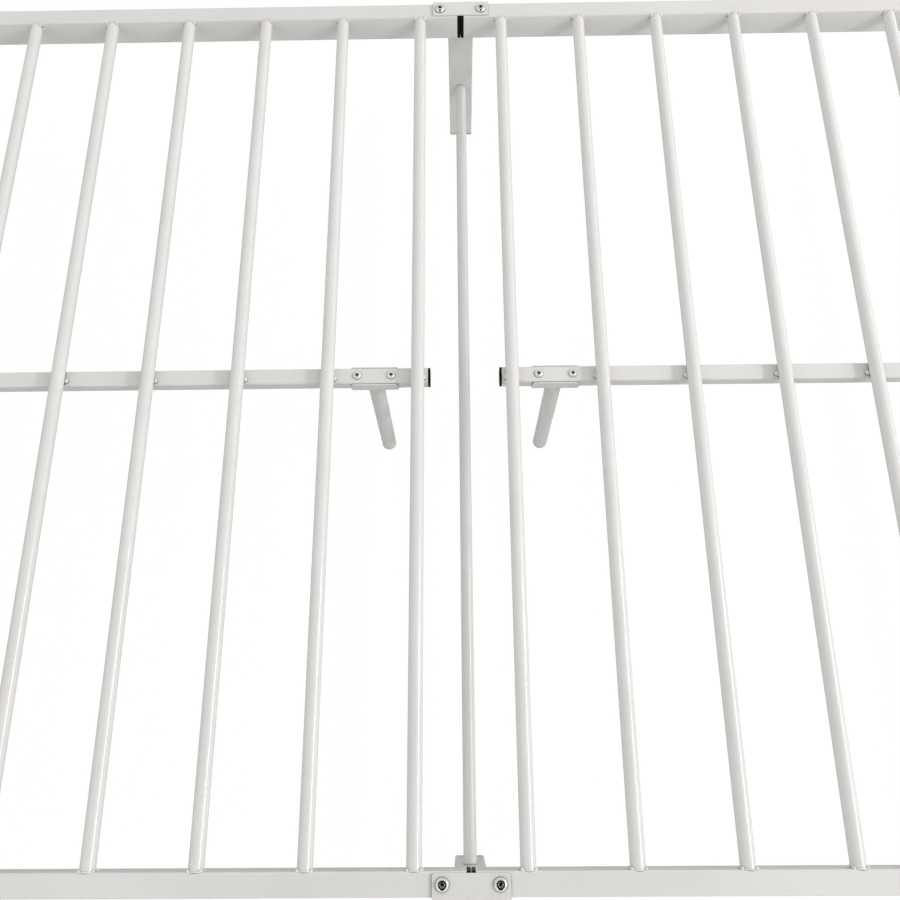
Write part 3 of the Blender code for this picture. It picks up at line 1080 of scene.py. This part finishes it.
def add_camera(deck_top):
    data = bpy.data.cameras.new("camera")
    data.lens = CAMERA_LENS
    data.sensor_width = CAMERA_SENSOR
    data.clip_start, data.clip_end = CAMERA_CLIP
    yaw = Matrix.Rotation(CAMERA_YAW, 3, "Z")
    right = yaw @ Vector((1, 0, 0))
    up = yaw @ Vector((0, cos(CAMERA_TILT), sin(CAMERA_TILT)))
    rolled_right = cos(CAMERA_ROLL) * right + sin(CAMERA_ROLL) * up
    rolled_up = cos(CAMERA_ROLL) * up - sin(CAMERA_ROLL) * right
    turn = Matrix((rolled_right, rolled_up, right.cross(up))).transposed()
    place = CAMERA_PLACE + Vector((0, 0, deck_top))
    camera = bpy.data.objects.new("camera", data)
    camera.matrix_world = Matrix.LocRotScale(place, turn.to_quaternion(), None)
    bpy.context.scene.collection.objects.link(camera)
    bpy.context.scene.camera = camera


def make_floor_paper():
    """Paper that is drawn white, and lights the bed as a grey studio floor does."""
    material, tree, shader = new_finish("floor_paper")
    shader.inputs["Base Color"].default_value = FLOOR_GREY
    shader.inputs["Roughness"].default_value = FLOOR_ROUGHNESS
    paper = add_node(tree, "ShaderNodeEmission", Color=WHITE, Strength=PAPER_STRENGTH)
    share = scale_value(tree, seen_directly(tree), FLOOR_WHITENING)
    mixed = mix_shaders(tree, share, shader.outputs["BSDF"], paper.outputs["Emission"])
    tree.links.new(mixed, tree.nodes["Material Output"].inputs["Surface"])
    return material


def add_floor(height):
    mesh = bpy.data.meshes.new("floor")
    ways = ((-1, -1), (1, -1), (1, 1), (-1, 1))
    corners = [(FLOOR_HALF * x, FLOOR_HALF * y, height) for x, y in ways]
    mesh.from_pydata(corners, [], [(0, 1, 2, 3)])
    mesh.materials.append(make_floor_paper())
    floor = bpy.data.objects.new("floor", mesh)
    bpy.context.scene.collection.objects.link(floor)


def add_soft_light(name, place, aim, width, height, power):
    data = bpy.data.lights.new(name, "AREA")
    data.shape = "RECTANGLE"
    data.size = width
    data.size_y = height
    data.energy = power
    light = bpy.data.objects.new(name, data)
    light.location = place
    light.rotation_mode = "QUATERNION"
    light.rotation_quaternion = (Vector(aim) - Vector(place)).to_track_quat("-Z", "Y")
    light.visible_camera = False
    bpy.context.scene.collection.objects.link(light)


def band(tree, source, start, end):
    """A share that goes smoothly from 0 to 1 as a source goes from start to end."""
    if start < end:
        return remap(tree, source, start, end, 0.0, 1.0, smooth=True)
    return remap(tree, source, end, start, 1.0, 0.0, smooth=True)


def dark_overhead(tree, direction):
    """A dark strip of sky: straight up, and down toward the front, where a person stands."""
    parts = add_node(tree, "ShaderNodeSeparateXYZ")
    tree.links.new(direction, parts.inputs["Vector"])
    sideways = add_node(tree, "ShaderNodeMath", "ABSOLUTE")
    tree.links.new(parts.outputs["X"], sideways.inputs[0])
    narrow = band(tree, sideways.outputs["Value"], start=0.34, end=0.20)
    high = band(tree, parts.outputs["Z"], start=0.38, end=0.55)
    front = band(tree, parts.outputs["Y"], start=0.24, end=0.08)
    return multiply(tree, multiply(tree, narrow, high), front)


def add_world():
    """A bright sky, brighter toward the front, with a dark strip where the camera hangs."""
    world = bpy.data.worlds.new("studio")
    world.use_nodes = True
    tree = world.node_tree
    direction = add_node(tree, "ShaderNodeTexCoord").outputs["Generated"]
    lean = add_node(tree, "ShaderNodeVectorMath", "DOT_PRODUCT")
    lean.inputs[1].default_value = (0, -1, 0)
    tree.links.new(direction, lean.inputs[0])
    bright = remap(tree, lean.outputs["Value"], 0.0, 1.0, SKY_BACK, SKY_FRONT)
    lit = remap(tree, dark_overhead(tree, direction), 0.0, 1.0, 1.0, SKY_OVERHEAD)
    sky = tree.nodes["Background"]
    sky.inputs["Color"].default_value = WHITE
    tree.links.new(multiply(tree, bright, lit), sky.inputs["Strength"])
    paper = add_node(tree, "ShaderNodeBackground", Color=WHITE, Strength=PAPER_STRENGTH)
    mixed = mix_shaders(
        tree, seen_directly(tree), sky.outputs["Background"], paper.outputs["Background"])
    tree.links.new(mixed, tree.nodes["World Output"].inputs["Surface"])
    bpy.context.scene.world = world


def add_studio():
    deck_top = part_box("left_front_side_rail")[1].z
    add_camera(deck_top)
    add_floor(CAD_BOX[0].z - FLOOR_BELOW)
    add_world()
    add_soft_light("key", **KEY_LIGHT)
    add_soft_light("strip", **STRIP_LIGHT)
    bpy.context.scene.view_settings.view_transform = "Standard"


for side_name, direction in SIDES.items():
    add_half(side_name, direction)
add_centre_frame()
add_studio()
